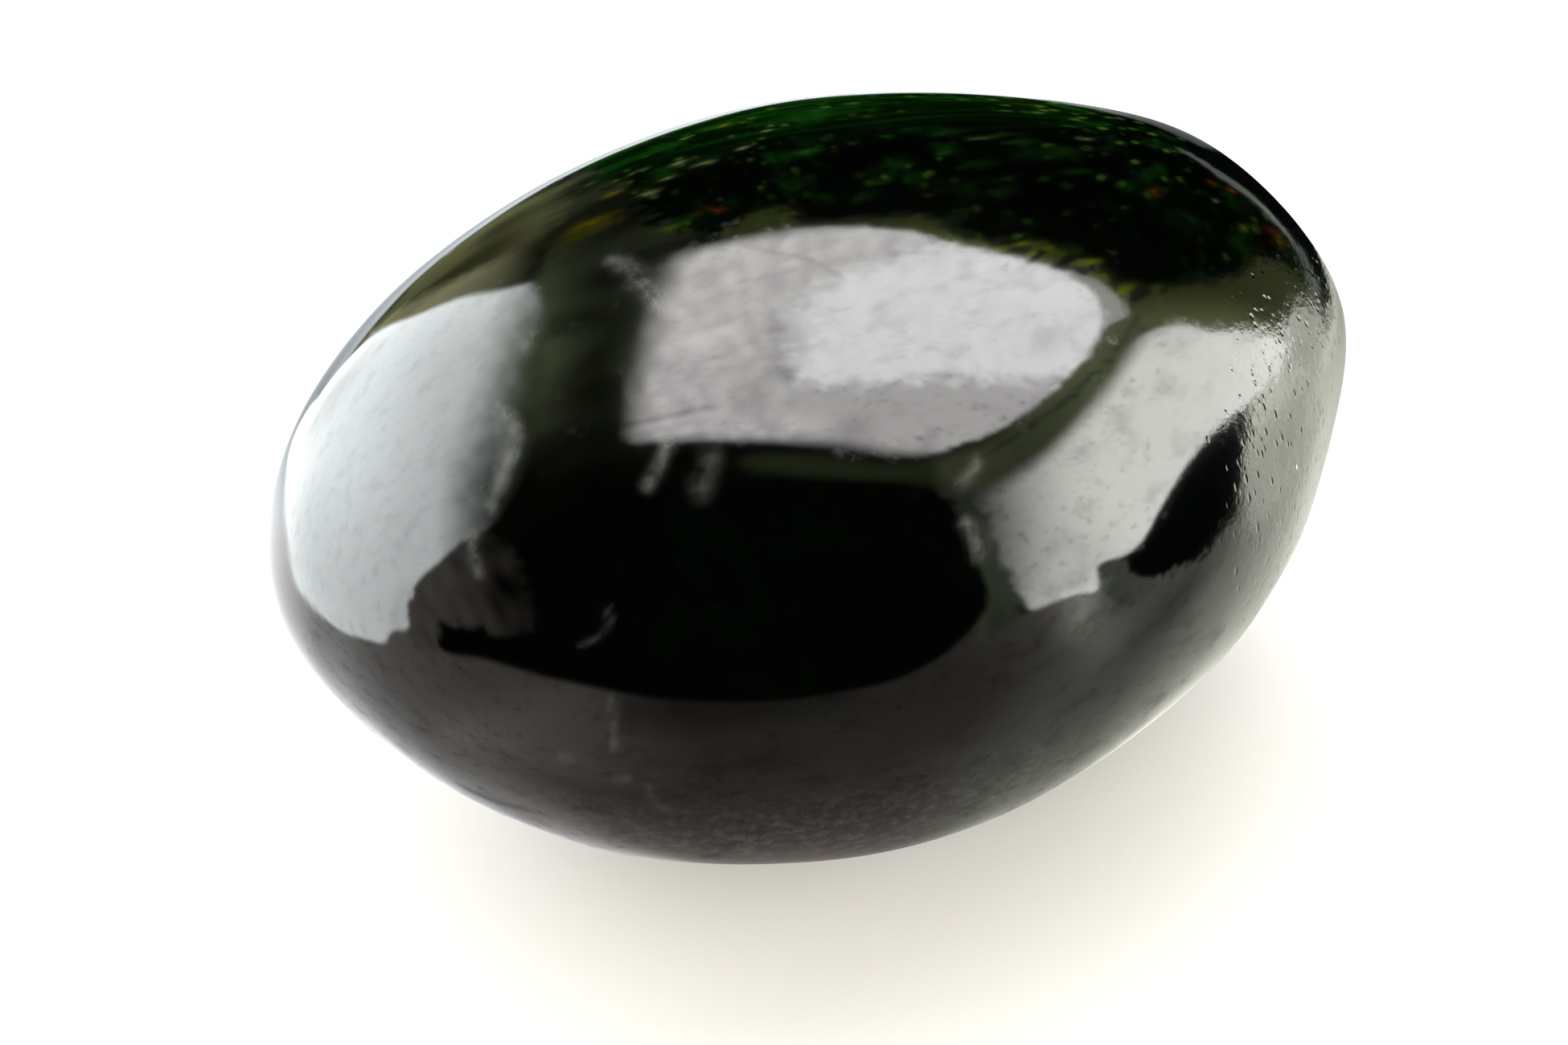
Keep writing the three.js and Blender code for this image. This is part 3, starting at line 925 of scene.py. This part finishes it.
tent = make_object("light_tent", tent_points, tent_faces)
tent_light = tent.data.color_attributes.new("light", "FLOAT_COLOR", "POINT")
painted = np.column_stack([np.maximum(light, 0), np.ones(len(light))])
tent_light.data.foreach_set("color", painted.astype(np.float32).reshape(-1))
give_values(tent, "cloth", cloth * (1 - flag_cover) * (light.max(axis=1) < DARK_CLOTH))
mottle_cover = (MOTTLE["top"] + MOTTLE["top, low part"] * low_part) * top_cover
mottle_cover += MOTTLE["left"] * left_cover + MOTTLE["right"] * right_cover + MOTTLE["hem"] * hem_cover
give_values(tent, "mottle", mottle_cover)

# The tent's cloth glows with the painted light, though it is no lamp. Painted green flecks, as tufts and
# thread ends, show in patches of the dark cloth, and the painted shade of creases and small flecks dims
# the panels.
TUFTS = (190, 3.0, 0.6)
TUFT_PATCHES = (150, 2.0, 0.5)
THREADS_IN_A_METRE = 560.0
CLOTH_SQUEEZE = (2.8, 1.0, 1.0)
TUFT_GREEN = (0.02, 0.20, 0.02, 1.0)
THREAD_GREEN = (0.26, 0.58, 0.07, 1.0)
CREASES = (420, 4.0, 0.62)
FLECKS = (1900, 2.0, 0.5)
NO_LIGHT = (0.0, 0.0, 0.0, 1.0)

painted_reflection_glow = bpy.data.materials.new("tent_painted_reflections")
painted_reflection_glow.use_nodes = True
tent_nodes = Nodes(painted_reflection_glow.node_tree)
tent_place = tent_nodes.add("ShaderNodeTexCoord").outputs["Object"]
painted_light = tent_nodes.add("ShaderNodeAttribute", attribute_name="light").outputs["Color"]
cloth_share = tent_nodes.add("ShaderNodeAttribute", attribute_name="cloth").outputs["Fac"]
mottle = tent_nodes.add("ShaderNodeAttribute", attribute_name="mottle").outputs["Fac"]
squeezed = tent_nodes.add("ShaderNodeMapping", {"Vector": tent_place, "Scale": CLOTH_SQUEEZE}).outputs[0]
tuft_patches = tent_nodes.ramp(tent_nodes.noise(tent_place, *TUFT_PATCHES), 0.40, 0.66)
tufted = tent_nodes.product(tuft_patches, cloth_share)
tufts = tent_nodes.ramp(tent_nodes.noise(squeezed, *TUFTS), 0.50, 0.74)
tent_colour = tent_nodes.blend(tent_nodes.product(tufts, tufted), painted_light, TUFT_GREEN)
threads = tent_nodes.add("ShaderNodeTexVoronoi", {"Vector": squeezed, "Scale": THREADS_IN_A_METRE})
thread_chance = tent_nodes.ramp(threads.outputs["Color"], 0.56, 0.80)
thread_ends = tent_nodes.product(tent_nodes.ramp(threads.outputs["Distance"], 0.46, 0.16), thread_chance)
tent_colour = tent_nodes.blend(tent_nodes.product(thread_ends, tufted), tent_colour, THREAD_GREEN)
creases = tent_nodes.noise(tent_place, *CREASES)
flecks = tent_nodes.ramp(tent_nodes.noise(tent_place, *FLECKS), 0.54, 0.74)
flecks = tent_nodes.product(flecks, tent_nodes.ramp(creases, 0.34, 0.58))
shade = tent_nodes.calculate("MAXIMUM", tent_nodes.ramp(creases, 0.48, 0.78), flecks)
tent_colour = tent_nodes.blend(tent_nodes.product(shade, mottle), tent_colour, NO_LIGHT)
glow_shader = tent_nodes.add("ShaderNodeEmission", {"Color": tent_colour, "Strength": 1.0})
tent_nodes.add("ShaderNodeOutputMaterial", {"Surface": glow_shader.outputs[0]})
painted_reflection_glow.cycles.emission_sampling = "NONE"
tent.data.materials.append(painted_reflection_glow)
tent.visible_camera = False
tent.visible_diffuse = False
tent.visible_transmission = False
tent.visible_volume_scatter = False
tent.visible_shadow = False

# The lamps: large soft boxes all round, the strongest behind on the left. They light the table and draw
# the soft shadow towards the camera, and reflections leave them to the tent's panels. Each has a bearing
# from the camera's side and a height above the table in degrees, a size in millimetres, its share of the
# light on the open table, and a tint.
LAMPS = {
    "back_left": (-135, 32, (340, 230), 0.38, (0.97, 1.0, 1.05)),
    "back_right": (150, 45, (340, 230), 0.25, (0.97, 1.0, 1.05)),
    "top": (180, 72, (260, 200), 0.17, (0.98, 1.0, 1.02)),
    "right": (75, 20, (300, 180), 0.15, (1.0, 0.99, 0.95)),
    "left": (-75, 30, (360, 230), 0.15, (1.0, 0.99, 0.97)),
    "front": (-4, 24, (400, 180), 0.44, (1.02, 0.98, 0.90)),
}
LAMP_FAR = 320 * MM

for name, (bearing, height, size, share, tint) in LAMPS.items():
    turn = math.radians(bearing)
    rise = math.radians(height)
    away = Vector((-view_right.y, view_right.x, 0.0))
    level = math.sin(turn) * view_right - math.cos(turn) * away
    toward = math.cos(rise) * level + math.sin(rise) * Vector((0.0, 0.0, 1.0))
    data = bpy.data.lights.new(name + "_soft_box", "AREA")
    data.shape = "RECTANGLE"
    data.size, data.size_y = (side * MM for side in size)
    # The table sends back the lamp's power times the paper's whiteness and the sine of the lamp's height,
    # over the square of pi times its distance. The power is what makes that the lamp's share.
    data.energy = (math.pi * LAMP_FAR) ** 2 * share / (TABLE_PAPER[0] * math.sin(rise))
    data.color = tint
    soft_box = bpy.data.objects.new(name + "_soft_box", data)
    bpy.context.scene.collection.objects.link(soft_box)
    facing = toward.to_track_quat("Z", "Y").to_matrix().to_4x4()
    soft_box.matrix_world = Matrix.Translation(LAMP_FAR * toward) @ facing
    soft_box.visible_glossy = False
    soft_box.visible_camera = False

# The room: white where the camera looks past the table, and a dim warm light from all round for the rest.
ROOM_LIGHT = (0.56, 0.55, 0.51, 1.0)
world = bpy.data.worlds.new("room")
world.use_nodes = True
bpy.context.scene.world = world
room = Nodes(world.node_tree)
seen = room.add("ShaderNodeLightPath").outputs["Is Camera Ray"]
sky = room.blend(seen, ROOM_LIGHT, WHITE)
background = room.add("ShaderNodeBackground", {"Color": sky, "Strength": 1.0})
room.add("ShaderNodeOutputWorld", {"Surface": background.outputs[0]})
bpy.context.scene.view_settings.view_transform = "Standard"
